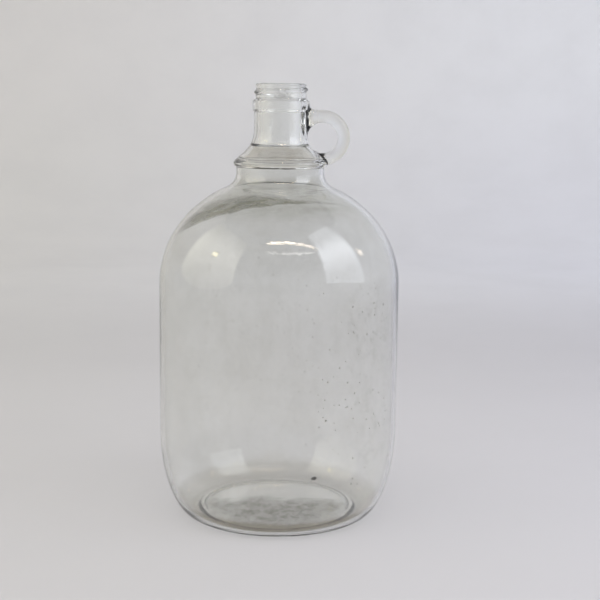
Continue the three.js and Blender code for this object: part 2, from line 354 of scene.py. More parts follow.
def inner_section():
    """The inside, from the top of the rim to the centre of the floor."""
    flare_centre, flare_radius, flare_start = flare()
    bore_arc = NECK_CURVE + NECK_RADIUS - BORE_RADIUS
    inside_arc = bore_arc - STEP_DEPTH
    step_end = 180 + STEP_START + STEP_LENGTH
    corner_r = COLLAR_RADIUS - WALL - INNER_CORNER
    corner = (corner_r, corner_height(corner_r, INNER_CORNER, inside_arc))
    neck_centre = (NECK_RADIUS + NECK_CURVE, NECK_START)
    lip = rounded([
        ((FINISH_RADIUS + BORE_RADIUS) / 2, RIM, 0),
        (BORE_RADIUS, RIM, LIP_INNER),
        (BORE_RADIUS, NECK_START, 0),
    ], LIP_STEP)
    neck = divided(np.concatenate([
        lip,
        circle(neck_centre, bore_arc, 180, 180 + STEP_START, BORE_STEP),
        circle(neck_centre, inside_arc, step_end, 180 + CONE_LEAN, BORE_STEP),
        circle(corner, INNER_CORNER, CONE_LEAN, 0, BORE_STEP),
        circle(flare_centre, flare_radius, 180, flare_start, BORE_STEP, WALL),
    ]), BORE_STEP)
    shoulder = arc(
        (0, SHOULDER_START), BODY_RADIUS, SHOULDER_RISE, SHOULDER_END, 0, INNER_SHOULDER_STEP, -WALL
    )
    heel_centre = (BODY_RADIUS - HEEL_INSET, HEEL_TOP)
    heel = arc(heel_centre, HEEL_INSET, HEEL_TOP, 0, HEEL_END, CURVE_STEP, -WALL)
    floor_start = heel_centre[0] - HEEL_CORNER
    corner = rounded([
        tuple(heel[-1]) + (0,),
        (heel[-1][0] - HEEL_RUN, FLOOR_EDGE, HEEL_CORNER),
        (floor_start, FLOOR_EDGE, 0),
    ], CORNER_STEP)
    floor = arc((0, FLOOR_EDGE), floor_start, FLOOR_CENTRE - FLOOR_EDGE, 0, 90, BODY_STEP)
    body = divided(np.concatenate([shoulder, heel, corner, floor]), BODY_STEP)
    return neck, body


# ---- mesh ----------------------------------------------------------------------------------


def ripple(points, length, seed, waves=16):
    """Smooth irregularity over the jug, mostly within -1 to 1, with bumps about length mm across."""
    rng = np.random.default_rng(seed)
    ways = rng.normal(size=(waves, 3))
    ways *= 2 * math.pi / length / np.linalg.norm(ways, axis=1, keepdims=True)
    phases = rng.uniform(0, 2 * math.pi, waves)
    return sum(np.cos(points @ way + phase) for way, phase in zip(ways, phases)) / math.sqrt(2 * waves)


def thread_height(angle, z):
    """How far the screw thread stands out of the finish's wall."""
    first = np.mod(angle - THREAD_FIRST, 2 * math.pi)
    height = np.zeros_like(z)
    for lap in range(2):
        along = first + 2 * math.pi * lap
        crest = THREAD_FIRST_Z + THREAD_PITCH * along / (2 * math.pi)
        across = np.clip(np.abs(z - crest) / THREAD_HALF_WIDTH, 0, 1)
        ends = np.clip(np.minimum(along, THREAD_SWEEP - along) / THREAD_FADE, 0, 1)
        ridge = np.cos(across * math.pi / 2) ** THREAD_SHARPNESS
        height = np.maximum(height, THREAD_DEPTH * ends * ridge)
    return height


def seam_columns():
    """Angles of the mesh's columns: even, with more of them at the two mould seams."""
    even = np.arange(COLUMNS) * 2 * math.pi / COLUMNS
    extra = [side + sign * step for side in (0, math.pi) for sign in (-1, 1) for step in SEAM_COLUMNS]
    return np.sort(np.mod(np.concatenate([even, extra]), 2 * math.pi))


def path_normals(path):
    along = np.gradient(path, axis=0)
    normal = np.stack([along[:, 1], -along[:, 0]], 1)
    return normal / np.maximum(np.linalg.norm(normal, axis=1, keepdims=True), 1e-9)


def revolve(path, angles, displacement):
    """A closed mesh swept by a path that starts and ends on the axis, in millimetres.
    displacement(r, z, angle, row) moves each vertex along the path's normal."""
    rings = path[1:-1]
    normals = path_normals(path)[1:-1]
    rows = np.arange(len(rings))[:, None] + 0 * angles
    angle = np.broadcast_to(angles, rows.shape)
    r = np.broadcast_to(rings[:, :1], rows.shape)
    z = np.broadcast_to(rings[:, 1:], rows.shape)
    move = displacement(r, z, angle, rows)
    r = r + normals[:, :1] * move
    z = z + normals[:, 1:] * move
    around = np.stack([r * np.cos(angle), r * np.sin(angle), z], -1).reshape(-1, 3)
    ends = [[0, 0, path[0][1]], [0, 0, path[-1][1]]]
    vertices = np.concatenate([around, ends])

    count = len(angles)
    row = np.arange(len(rings) - 1)[:, None] * count
    here = np.arange(count)
    after = (here + 1) % count
    quads = np.stack([row + here, row + after, row + count + after, row + count + here], -1)
    faces = [tuple(q) for q in quads.reshape(-1, 4)]
    first, last = len(around), len(around) + 1
    top = (len(rings) - 1) * count
    faces += [(first, int(b), int(a)) for a, b in zip(here, after)]
    faces += [(last, int(top + a), int(top + b)) for a, b in zip(here, after)]
    return vertices, faces


def new_mesh(name, vertices, faces):
    mesh = bpy.data.meshes.new(name)
    mesh.from_pydata([tuple(v) for v in vertices], [], faces)
    mesh.validate()
    return mesh


def vertices_of(mesh):
    co = np.empty(len(mesh.vertices) * 3)
    mesh.vertices.foreach_get("co", co)
    return co.reshape(-1, 3)


# ---- fields of distance, in millimetres, used to blend the ring into the neck -------------


def section_distance(points, path):
    """Signed distance from the surface that path sweeps about the axis, negative inside."""
    r = np.hypot(points[:, 0], points[:, 1])
    here = np.stack([r, points[:, 2]], 1)[:, None]
    start, along = path[:-1], np.diff(path, axis=0)
    share = np.clip(((here - start) * along).sum(-1) / (along**2).sum(-1), 0, 1)
    gap = here - start - share[..., None] * along
    distance = np.linalg.norm(gap, axis=-1)
    nearest = distance.argmin(1)
    rows = np.arange(len(points))
    gap, along = gap[rows, nearest], along[nearest]
    outside = along[:, 0] * gap[:, 1] - along[:, 1] * gap[:, 0] < 0
    return distance[rows, nearest] * np.where(outside, 1, -1)


def ring_rim(turn):
    """The ring's outer radius at an angle about its centre: its top runs level into the bead."""
    level_run = (turn > math.pi / 2) & (turn < LEVEL_RUN_END)
    return np.where(level_run, RING_OUTER / np.sin(np.where(level_run, turn, 1.0)), RING_OUTER)


def ring_field(points):
    """About the distance from the finger ring's surface, negative inside."""
    def inside(p):
        across = np.hypot(p[:, 0] - RING_X, p[:, 2] - RING_Z)
        rim = ring_rim(np.arctan2(p[:, 2] - RING_Z, p[:, 0] - RING_X))
        u = np.abs(across - (rim + RING_HOLE) / 2) / ((rim - RING_HOLE) / 2)
        v = np.abs(p[:, 1]) / RING_HALF_THICKNESS
        return (u**RING_SQUARENESS + v**RING_SQUARENESS) ** (1 / RING_SQUARENESS)

    value = inside(points)
    return (value - 1) / np.maximum(np.linalg.norm(gradient(inside, points), axis=1), 0.05)


def gradient(field, points, step=0.02):
    slopes = []
    for axis in range(3):
        nudge = np.zeros(3)
        nudge[axis] = step
        slopes.append((field(points + nudge) - field(points - nudge)) / (2 * step))
    return np.stack(slopes, 1)


def smooth_min(a, b, width):
    share = np.clip(0.5 + 0.5 * (b - a) / width, 0, 1)
    return b + (a - b) * share - width * share * (1 - share)


def hole_field(points):
    """Negative inside the finger hole's cylinder."""
    return np.hypot(points[:, 0] - RING_X, points[:, 2] - RING_Z) - RING_HOLE


def bitten_neck_field(points, neck_path):
    neck = section_distance(points, neck_path)
    return -smooth_min(-neck, hole_field(points), BITE_BLEND)


def settle(points, field, rounds=4):
    """The points moved onto the surface where the field is zero."""
    moved = points.copy()
    for _ in range(rounds):
        slope = gradient(field, moved)
        square = np.maximum((slope**2).sum(1), 0.05)
        moved -= (field(moved) / square)[:, None] * slope
    shift = moved - points
    size = np.linalg.norm(shift, axis=1, keepdims=True)
    return points + shift * np.minimum(1, MOST_SETTLING / np.maximum(size, 1e-9))


def ring_mesh():
    """The finger ring as a closed sweep of its section."""
    turn = np.arange(RING_AROUND) * 2 * math.pi / RING_AROUND
    turn = turn[:, None] - 1e-3
    v = np.arange(RING_ACROSS) * 2 * math.pi / RING_ACROSS
    rim = ring_rim(np.where(turn > math.pi, turn - 2 * math.pi, turn))
    power = 2 / RING_SQUARENESS
    half = (rim - RING_HOLE) / 2
    radius = (rim + RING_HOLE) / 2 + half * np.sign(np.cos(v)) * np.abs(np.cos(v)) ** power
    side = RING_HALF_THICKNESS * np.sign(np.sin(v)) * np.abs(np.sin(v)) ** power
    side = np.broadcast_to(side, radius.shape)
    x = RING_X + radius * np.cos(turn)
    z = RING_Z + radius * np.sin(turn)
    vertices = np.stack([x, side, z], -1).reshape(-1, 3)
    faces = []
    for i in range(RING_AROUND):
        for j in range(RING_ACROSS):
            a, b = i * RING_ACROSS, (i + 1) % RING_AROUND * RING_ACROSS
            k = (j + 1) % RING_ACROSS
            faces.append((a + j, a + k, b + k, b + j))
    return vertices, faces


def combine(first, second, operation):
    """A new mesh: second joined to first, or cut from it."""
    one = bpy.data.objects.new("one", first)
    two = bpy.data.objects.new("two", second)
    for o in (one, two):
        bpy.context.scene.collection.objects.link(o)
    modifier = one.modifiers.new("combine", "BOOLEAN")
    modifier.operation = operation
    modifier.solver = "MANIFOLD"
    modifier.object = two
    graph = bpy.context.evaluated_depsgraph_get()
    result = bpy.data.meshes.new_from_object(one.evaluated_get(graph))
    for o in (one, two):
        bpy.data.objects.remove(o)
    return result


def glass_moves(outer_rows):
    """The function that tells revolve how far each vertex moves: waves, mould seams and thread.
    The path's first outer_rows rows are the outside."""

    def displacement(r, z, angle, row):
        points = np.stack([r * np.cos(angle), r * np.sin(angle), z], -1)
        off_floor = np.clip((z - FLAT_BOTTOM) / WAVE_FADE, 0, 1)
        below_neck = np.clip((SHOULDER_START + SHOULDER_RISE - z) / NECK_FADE, 0, 1)
        below_finish = np.clip((FINISH_START - z) / WAVE_FADE, 0, 1)
        on_body = off_floor * below_neck
        wave = OUTER_WAVE * ripple(points, OUTER_WAVE_LENGTH, 3) * on_body
        inner_wave = ripple(points, INNER_WAVE_LENGTH, 11)
        inner_wave = inner_wave + INNER_DETAIL * ripple(points, INNER_DETAIL_LENGTH, 12)
        thickness = INNER_WAVE * inner_wave
        thickness *= (NECK_WAVE + (1 - NECK_WAVE) * below_neck) * below_finish
        aside = np.minimum(np.mod(angle, math.pi), math.pi - np.mod(angle, math.pi)) * r
        seam = SEAM_HEIGHT * np.exp(-((aside / SEAM_WIDTH) ** 2)) * off_floor
        seam *= (z < FINISH_START) & (r > NECK_RADIUS - 0.5)
        on_finish = (z > FINISH_START + 0.3) & (r > FINISH_RADIUS - 0.5)
        thread = np.where(on_finish, thread_height(angle, z), 0)
        shrink = (SEAM_HEIGHT + OUTER_WAVE * WAVE_PEAK) * on_body
        return np.where(row < outer_rows, wave + seam + thread - shrink, thickness)

    return displacement


def jug_without_ring(outer, inner, outer_neck):
    """The closed glass wall, with the finger hole's bite in the neck and its inner side marked."""
    path = np.concatenate([outer, inner[1:]])
    path[0, 0] = path[-1, 0] = 0.0
    outer_rows = len(outer) - 1
    columns = seam_columns()
    vertices, faces = revolve(path, columns, glass_moves(outer_rows))
    from_ring = np.hypot(vertices[:, 0] - RING_X, vertices[:, 2] - RING_Z)
    near_hole = np.flatnonzero((from_ring < RING_HOLE + 2) & (vertices[:, 0] > BORE_RADIUS + 1))
    near_hole = near_hole[section_distance(vertices[near_hole], outer_neck) > -1]
    bitten = vertices[near_hole]
    vertices[near_hole] = settle(bitten, lambda points: bitten_neck_field(points, outer_neck))

    rows = np.repeat(np.arange(len(path) - 2), len(columns))
    inside = np.append(rows > outer_rows + LIP_ROWS, [False, True])
    jug = new_mesh("jug", vertices, faces)
    mark = jug.attributes.new("inside", "FLOAT", "POINT")
    mark.data.foreach_set("value", inside.astype(np.float32))
    return jug


def ring_with_roots(outer_neck):
    """The finger ring, cut off a little way inside the neck's wall."""
    core_path = outer_neck - CORE_DEPTH * path_normals(outer_neck)
    core_path = core_path[(core_path[:, 1] > CORE_BOTTOM) & (core_path[:, 1] < CORE_TOP)]
    core_path = np.concatenate([[[0, core_path[0, 1]]], core_path, [[0, core_path[-1, 1]]]])
    core = new_mesh("core", *revolve(core_path, seam_columns(), lambda r, z, a, n: 0 * r))
    return combine(new_mesh("ring", *ring_mesh()), core, "DIFFERENCE")


def blended(points, outer_neck):
    """The points with those near the ring's roots moved onto soft blends between ring and neck."""

    def field(p):
        from_hole = np.clip(hole_field(p) / HOLE_BLEND_REACH, 0, 1)
        at_bead = np.clip((p[:, 2] - NECK_START) / BEAD_BLEND_RISE, 0, 1)
        widest = ROOT_BLEND + (BEAD_BLEND - ROOT_BLEND) * at_bead
        blend = HOLE_BLEND + (widest - HOLE_BLEND) * from_hole**2
        return smooth_min(bitten_neck_field(p, outer_neck), ring_field(p), blend)

    by_ring = (points[:, 0] > BLEND_INNER_X) & (np.abs(points[:, 1]) < BLEND_HALF_WIDTH)
    by_ring &= (points[:, 2] > BLEND_BOTTOM) & (points[:, 2] < BLEND_TOP)
    near = np.flatnonzero(by_ring)
    near = near[section_distance(points[near], outer_neck) > -0.7]
    by_neck = np.abs(bitten_neck_field(points[near], outer_neck)) < BEAD_BLEND
    near = near[by_neck & (np.abs(ring_field(points[near])) < BEAD_BLEND)]
    points[near] = settle(points[near], field)
    return points


def jug_glass():
    """The whole jug as one closed glass body."""
    outer_body, outer_neck = outer_section()
    inner_neck, inner_body = inner_section()
    outer = divided(np.concatenate([outer_body, outer_neck]), BODY_STEP)
    inner = divided(np.concatenate([inner_neck, inner_body]), BODY_STEP)
    whole = combine(jug_without_ring(outer, inner, outer_neck), ring_with_roots(outer_neck), "UNION")
    points = blended(vertices_of(whole), outer_neck)
    whole.vertices.foreach_set("co", (points * MM).ravel())
    whole.update()
    whole.shade_smooth()
    return whole


# ---- materials -----------------------------------------------------------------------------


class Tree:
    """Adds and wires a material's nodes, one call for each node. Places are in millimetres."""

    def __init__(self, name):
        self.material = bpy.data.materials.new(name)
        self.material.use_nodes = True
        self.nodes = self.material.node_tree.nodes
        self.links = self.material.node_tree.links
        self.shader = self.nodes["Principled BSDF"]

    def feed(self, socket, value):
        if isinstance(value, bpy.types.NodeSocket):
            self.links.new(value, socket)
        else:
            socket.default_value = value

    def place(self):
        source = self.nodes.new("ShaderNodeTexCoord").outputs["Object"]
        return self.scaled(source, (1 / MM, 1 / MM, 1 / MM))

    def scaled(self, vector, factors):
        node = self.nodes.new("ShaderNodeVectorMath")
        node.operation = "MULTIPLY"
        self.feed(node.inputs[0], vector)
        self.feed(node.inputs[1], factors)
        return node.outputs["Vector"]

    def split(self, vector):
        node = self.nodes.new("ShaderNodeSeparateXYZ")
        self.links.new(vector, node.inputs["Vector"])
        return node.outputs["X"], node.outputs["Y"], node.outputs["Z"]

    def join(self, x, y, z):
        node = self.nodes.new("ShaderNodeCombineXYZ")
        for socket, value in zip(node.inputs, (x, y, z)):
            self.feed(socket, value)
        return node.outputs["Vector"]

    def math(self, operation, *values):
        node = self.nodes.new("ShaderNodeMath")
        node.operation = operation
        for socket, value in zip(node.inputs, values):
            self.feed(socket, value)
        return node.outputs["Value"]

    def add(self, first, *others):
        for other in others:
            first = self.math("ADD", first, other)
        return first

    def times(self, first, *others):
        for other in others:
            first = self.math("MULTIPLY", first, other)
        return first

    def step(self, value, low, high, to_low=0.0, to_high=1.0):
        """A smooth step that goes from to_low to to_high as the value goes from low to high."""
        node = self.nodes.new("ShaderNodeMapRange")
        node.interpolation_type = "SMOOTHSTEP"
        self.feed(node.inputs["Value"], value)
        self.feed(node.inputs["From Min"], low)
        self.feed(node.inputs["From Max"], high)
        self.feed(node.inputs["To Min"], to_low)
        self.feed(node.inputs["To Max"], to_high)
        return node.outputs["Result"]

    def noise(self, vector, size, detail=4.0, roughness=0.6, seed=0.0):
        node = self.nodes.new("ShaderNodeTexNoise")
        node.noise_dimensions = "4D"
        self.feed(node.inputs["Vector"], vector)
        self.feed(node.inputs["W"], seed)
        self.feed(node.inputs["Scale"], 1 / size)
        self.feed(node.inputs["Detail"], detail)
        self.feed(node.inputs["Roughness"], roughness)
        return node.outputs["Fac"]

    def cells(self, vector, size):
        """The distance to the nearest scattered point, as a share of size, and that point's number."""
        node = self.nodes.new("ShaderNodeTexVoronoi")
        self.feed(node.inputs["Vector"], vector)
        self.feed(node.inputs["Scale"], 1 / size)
        return node.outputs["Distance"], self.split(node.outputs["Color"])[0]

    def distance(self, vector, centre):
        node = self.nodes.new("ShaderNodeVectorMath")
        node.operation = "DISTANCE"
        self.feed(node.inputs[0], vector)
        self.feed(node.inputs[1], centre)
        return node.outputs["Value"]

    def mix(self, share, first, second):
        node = self.nodes.new("ShaderNodeMix")
        node.data_type = "RGBA"
        self.feed(node.inputs["Factor"], share)
        self.feed(node.inputs["A"], first)
        self.feed(node.inputs["B"], second)
        return node.outputs["Result"]

    def let_light_through(self, share):
        """Light falls through the shader unbent, this share of it at each surface, so that it casts
        only a faint shadow."""
        path = self.nodes.new("ShaderNodeLightPath")
        clear = self.nodes.new("ShaderNodeBsdfTransparent")
        clear.inputs["Color"].default_value = (share, share, share, 1)
        surface = self.shader.outputs["BSDF"]
        for ray in ("Is Diffuse Ray", "Is Shadow Ray"):
            mix = self.nodes.new("ShaderNodeMixShader")
            self.links.new(path.outputs[ray], mix.inputs[0])
            self.links.new(surface, mix.inputs[1])
            self.links.new(clear.outputs["BSDF"], mix.inputs[2])
            surface = mix.outputs["Shader"]
        self.links.new(surface, self.nodes["Material Output"].inputs["Surface"])

    def attribute(self, name):
        node = self.nodes.new("ShaderNodeAttribute")
        node.attribute_name = name
        return node.outputs["Fac"]


def dried_film(tree, place):
    """Cloudy patches, fine grain and faint runs of what dried on the inside, none of it at the bottom."""
    clouds = tree.step(tree.noise(place, 42, 7, 0.62, 1.0), 0.40, 0.72)
    grain = tree.step(tree.noise(place, 3.5, 3, 0.7, 2.0), 0.42, 0.80)
    runs = tree.step(tree.noise(tree.scaled(place, (1, 1, 0.15)), 9, 4, 0.6, 3.0), 0.50, 0.78)
    total = tree.add(0.30, tree.times(clouds, 0.50), tree.times(grain, 0.25), tree.times(runs, 0.25))
    height = tree.split(place)[2]
    above_floor = tree.step(height, 8.0, 60.0, 0.1, 1.0)
    return tree.times(total, above_floor, tree.step(height, 262.0, 240.0, 0.3, 1.0))


def above_slant(tree, place):
    """The height above the slanted level at which liquid once stood in the shoulder."""
    x, y, z = tree.split(place)
    slant = tree.add(197.4, tree.times(x, 0.148), tree.times(y, -0.479))
    ragged = tree.times(tree.add(tree.noise(place, 9, 6, 0.65, 4.0), -0.5), 5.0)
    return tree.add(tree.math("SUBTRACT", z, slant), ragged)


def shoulder_stain(tree, place):
    """A streaky crescent left by that liquid against the front of the shoulder."""
    x, y, z = tree.split(place)
    above = above_slant(tree, place)
    width = tree.step(x, -46.0, 24.0, 26.0, 3.0)
    lower = tree.step(above, -0.8, 1.4)
    upper = tree.step(tree.math("DIVIDE", above, width), 1.15, 0.35)
    in_front = tree.step(y, -8.0, -30.0)
    drawn_out = tree.join(tree.times(x, 0.28), tree.times(y, 0.28), tree.times(above, 1.3))
    streaks = tree.step(tree.noise(drawn_out, 5, 5, 0.7, 5.0), 0.32, 0.56, 0.5, 1.0)
    sides = tree.times(tree.step(x, 60.0, 6.0), tree.step(x, -76.0, -52.0, 0.75, 1.0))
    return tree.times(lower, upper, in_front, sides, streaks)


def stain_spots(tree, place):
    """Near-black spots in the crescent's thickest part."""
    x, y, z = tree.split(place)
    spots = tree.step(tree.noise(tree.scaled(place, (0.7, 1, 1.6)), 3.4, 4, 0.7, 12.0), 0.54, 0.64)
    return tree.times(spots, tree.step(x, 8.0, -6.0), tree.step(x, -46.0, -34.0))


def shoulder_haze(tree, place):
    """A streaky olive cast over the top of the shoulder."""
    x, y, z = tree.split(place)
    above = above_slant(tree, place)
    drawn_out = tree.join(tree.times(x, 0.4), tree.times(y, 0.4), above)
    streaks = tree.step(tree.noise(drawn_out, 6, 5, 0.7, 13.0), 0.32, 0.64, 0.5, 1.0)
    cover = tree.math("MAXIMUM", tree.step(above, -3.0, 8.0), tree.step(z, 207.0, 219.0))
    return tree.times(cover, tree.step(y, 45.0, -20.0, 0.2, 1.0), tree.step(z, 243.0, 232.0), streaks)


def floor_stain(tree, place):
    """A mottled deposit over the front of the floor."""
    x, y, z = tree.split(place)
    ragged = tree.times(tree.add(tree.noise(place, 16, 7, 0.75, 6.0), -0.5), 50.0)
    front = tree.step(tree.add(y, ragged), 3.0, -14.0)
    from_centre = tree.distance(tree.scaled(place, (1, 1, 0)), (0, 0, 0))
    within = tree.step(tree.add(from_centre, tree.times(ragged, 0.4)), 62.0, 44.0)
    patches = tree.step(tree.noise(place, 7, 7, 0.8, 7.0), 0.38, 0.62, 0.5, 1.0)
    return tree.times(front, within, patches, tree.step(z, 14.0, 11.0))


def bottom_film(tree, place):
    """A thin beige film on the floor and low on the heel."""
    x, y, z = tree.split(place)
    ragged = tree.times(tree.add(tree.noise(place, 18, 6, 0.65, 15.0), -0.5), 16.0)
    aside = tree.times(tree.math("ABSOLUTE", x), 0.15)
    height = tree.add(z, ragged, aside, tree.step(y, -48.0, -60.0, 0.0, 9.0))
    return tree.times(tree.step(height, 24.0, 14.0), 0.8)


def heel_brown_line(tree, place):
    """A brown line round the lowest part of the inside."""
    x, y, z = tree.split(place)
    from_axis = tree.distance(tree.scaled(place, (1, 1, 0)), (0, 0, 0))
    ragged = tree.times(tree.add(tree.noise(place, 10, 5, 0.65, 17.0), -0.5), 5.0)
    low = tree.step(tree.add(z, ragged), 16.0, 11.0)
    return tree.times(low, tree.step(from_axis, 54.0, 60.0), tree.step(y, 30.0, -30.0, 0.3, 1.0))


def cone_film_and_shade(tree, place):
    """Partly a brownish film and partly painted shade of the dim ceiling that the cone mirrors, inside the
    cone below the neck, up to the step at the bore's end.
    """
    height = tree.split(place)[2]
    ragged = tree.step(tree.noise(tree.scaled(place, (1, 1, 2)), 9, 5, 0.6, 8.0), 0.30, 0.70, 0.55, 1.0)
    return tree.times(tree.step(height, 243.0, 249.0), tree.step(height, 259.6, 258.4), ragged)


def finish_smudge(tree, place):
    """A grey smudge on the front of the finish, below the thread."""
    near = tree.step(tree.distance(tree.scaled(place, (1, 1, 1.9)), (1.5, -14.2, 293.6 * 1.9)), 9.0, 4.5)
    return tree.times(near, tree.step(tree.noise(place, 2.2, 4, 0.7, 9.0), 0.42, 0.58))


def specks(tree, place):
    """Small dark specks, thickest low on the right."""
    x, y, z = tree.split(place)
    wobble = tree.times(tree.add(tree.noise(place, 1.5, 2, 0.5, 10.0), -0.5), 0.10)
    total = 0.0
    for size, radius, chance in ((4.5, 0.16, 0.60), (12.0, 0.08, 0.50)):
        gap, number = tree.cells(place, size)
        spot = tree.step(tree.add(gap, wobble), radius, radius * 0.6)
        total = tree.add(total, tree.times(spot, tree.math("GREATER_THAN", number, chance)))
    on_right = tree.times(tree.step(x, 8.0, 34.0), tree.step(z, 175.0, 150.0), tree.step(z, 20.0, 45.0))
    return tree.math("MINIMUM", tree.times(total, tree.add(0.25, tree.times(on_right, 0.75))), 1.0)


def side_mottling(tree, place):
    """Darker flecked patches down the right-hand wall."""
    x, y, z = tree.split(place)
    patches = tree.step(tree.noise(tree.scaled(place, (1, 1, 0.8)), 12, 8, 0.85, 11.0), 0.50, 0.62)
    band = tree.times(tree.step(x, 44.0, 62.0), tree.step(z, 165.0, 145.0), tree.step(z, 35.0, 60.0))
    return tree.times(patches, band)


def flange_crease_shade(tree, place):
    """A broken dark line of painted shade in the crease under the front of the flange, standing in for the
    dim room that the glass mirrors there.
    """
    x, y, z = tree.split(place)
    ragged = tree.noise(tree.scaled(place, (0.5, 1, 1)), 2.5, 3, 0.6, 14.0)
    off_line = tree.math("ABSOLUTE", tree.add(z, tree.times(ragged, 0.8), -245.3))
    front = tree.times(tree.step(x, -21.0, -17.0), tree.step(x, 12.0, 8.0), tree.step(y, -20.0, -24.0))
    outer = tree.step(tree.distance(tree.scaled(place, (1, 1, 0)), (0, 0, 0)), 29.0, 30.0)
    return tree.times(tree.step(off_line, 0.6, 0.35), front, outer, tree.step(ragged, 0.36, 0.5))


def ring_haze(tree, place):
    """Where the glass is dull: all over the finger ring."""
    x, y, z = tree.split(place)
    return tree.times(tree.step(x, 21.0, 26.0), tree.step(z, 248.0, 251.0))


def glass_material():
    """Clear bottle glass with what has dried on its inside, and painted shade under the flange and in the
    cone below the neck.
    """
    tree = Tree("clear_glass")
    shader = tree.shader
    place = tree.place()
    inside = tree.attribute("inside")

    def inner(layer):
        return tree.times(layer(tree, place), inside)

    crescent = inner(shoulder_stain)
    specked = inner(specks)
    smudged = inner(finish_smudge)
    flake = tree.step(tree.distance(place, FLAKE_PLACE), 2.8, 1.9)
    layers = (
        (inner(dried_film), FILM_TINT),
        (inner(shoulder_haze), HAZE_TINT),
        (inner(side_mottling), SIDE_TINT),
        (crescent, CRESCENT_TINT),
        (tree.times(stain_spots(tree, place), crescent), SPOT_TINT),
        (inner(bottom_film), BOTTOM_TINT),
        (inner(heel_brown_line), HEEL_TINT),
        (inner(floor_stain), FLOOR_TINT),
        # partly film, partly painted shade inside the cone
        (inner(cone_film_and_shade), CONE_FILM_AND_SHADE_TINT),
        (smudged, SMUDGE_TINT),
        (specked, SPECK_TINT),
        # painted shade in the crease under the flange
        (flange_crease_shade(tree, place), CREASE_SHADE_TINT),
        (flake, FLAKE_TINT),
    )
    colour = CLEAN_TINT
    for share, tint in layers:
        colour = tree.mix(share, colour, tint)
    tree.feed(shader.inputs["Base Color"], colour)

    deposits = tree.math("MAXIMUM", crescent, tree.add(specked, smudged))
    low_film = tree.times(inside, tree.step(tree.split(place)[2], 75.0, 45.0))
    rough = tree.add(
        tree.times(deposits, DEPOSIT_ROUGHNESS),
        tree.times(low_film, LOW_FILM_ROUGHNESS),
        tree.times(ring_haze(tree, place), RING_ROUGHNESS),
    )
    tree.feed(shader.inputs["Roughness"], rough)
    shader.inputs["IOR"].default_value = GLASS_IOR
    shader.inputs["Transmission Weight"].default_value = 1.0
    absorption = tree.nodes.new("ShaderNodeVolumeAbsorption")
    absorption.inputs["Color"].default_value = GLASS_COLOUR
    absorption.inputs["Density"].default_value = GLASS_DENSITY
    tree.links.new(absorption.outputs["Volume"], tree.nodes["Material Output"].inputs["Volume"])
    tree.let_light_through(LIGHT_PASSED)
    return tree.material


def sweep_material():
    """Pale cloth with painted light, warmer on the left and cooler on the right and lighter at the back
    and up the wall, faint painted shade of folds, and painted shade where it rises far in front.
    """
    tree = Tree("pale_sweep")
    place = tree.place()
    x, y, z = tree.split(place)
    # painted light: warm from the left, cool from the right, lighter at the back and up the wall
    across = tree.step(x, -900.0, 900.0)
    near = tree.mix(across, *NEAR_CLOTH_WITH_PAINTED_LIGHT)
    far = tree.mix(across, *FAR_CLOTH_WITH_PAINTED_LIGHT)
    wall = tree.mix(across, *RISING_CLOTH_WITH_PAINTED_LIGHT)
    colour = tree.mix(tree.step(y, 500.0, 1400.0), near, far)
    colour = tree.mix(tree.step(z, 60.0, 450.0), colour, wall)
    # painted shade of faint folds
    fold_shade = tree.step(tree.noise(place, 160, 5, 0.6, 16.0), 0.35, 0.75, 0.0, 0.10)
    colour = tree.mix(fold_shade, colour, FOLD_SHADE)
    # painted shade of the dim room far in front
    far_front_shade = tree.times(tree.step(y, -1000.0, -1500.0), tree.step(z, 20.0, 300.0), 0.45)
    colour = tree.mix(far_front_shade, colour, DIM_ROOM_SHADE)
    tree.feed(tree.shader.inputs["Base Color"], colour)
    tree.shader.inputs["Roughness"].default_value = 0.9
    return tree.material


def glow_material(name, colour, strength, peak_height=0.5, falloff=0.0, spread=0.5, back_share=0.0):
    """A light card's glow, brightest at a share of its height. Its back gives a share of the front's."""
    tree = Tree(name)
    height = tree.split(tree.nodes.new("ShaderNodeTexCoord").outputs["Generated"])[2]
    off_peak = tree.math("ABSOLUTE", tree.math("SUBTRACT", height, peak_height))
    level_here = tree.step(off_peak, 0.0, spread, strength, strength * (1 - falloff))
    geometry = tree.nodes.new("ShaderNodeNewGeometry")
    side_share = tree.step(geometry.outputs["Backfacing"], 0.0, 1.0, 1.0, back_share)
    tree.shader.inputs["Base Color"].default_value = (0, 0, 0, 1)
    tree.shader.inputs["Specular IOR Level"].default_value = 0.0
    tree.shader.inputs["Emission Color"].default_value = (*colour, 1)
    tree.feed(tree.shader.inputs["Emission Strength"], tree.times(level_here, side_share))
    return tree.material


# ---- stage ---------------------------------------------------------------------------------


def sweep():
    """A round floor that curves up into a wall on all sides."""
    path = [(SWEEP_FLOOR / 2, 0.0)]
    for k in range(SWEEP_BEND_ROWS + 1):
        angle = math.pi / 2 * k / SWEEP_BEND_ROWS
        path.append((SWEEP_FLOOR + SWEEP_BEND * math.sin(angle), SWEEP_BEND * (1 - math.cos(angle))))
    path.append((SWEEP_FLOOR + SWEEP_BEND, SWEEP_TOP))
    vertices = []
    for radius, height in path:
        for k in range(SWEEP_COLUMNS):
            angle = 2 * math.pi * k / SWEEP_COLUMNS
            vertices.append((radius * math.cos(angle), radius * math.sin(angle), height - SWEEP_DROP))
    faces = [tuple(range(SWEEP_COLUMNS))]
    for row in range(len(path) - 1):
        for k in range(SWEEP_COLUMNS):
            a, b = row * SWEEP_COLUMNS + k, row * SWEEP_COLUMNS + (k + 1) % SWEEP_COLUMNS
            faces.append((b, a, a + SWEEP_COLUMNS, b + SWEEP_COLUMNS))
    mesh = new_mesh("sweep", vertices, faces)
    mesh.shade_smooth()
    mesh.materials.append(sweep_material())
    floor = bpy.data.objects.new("floor", mesh)
    bpy.context.scene.collection.objects.link(floor)


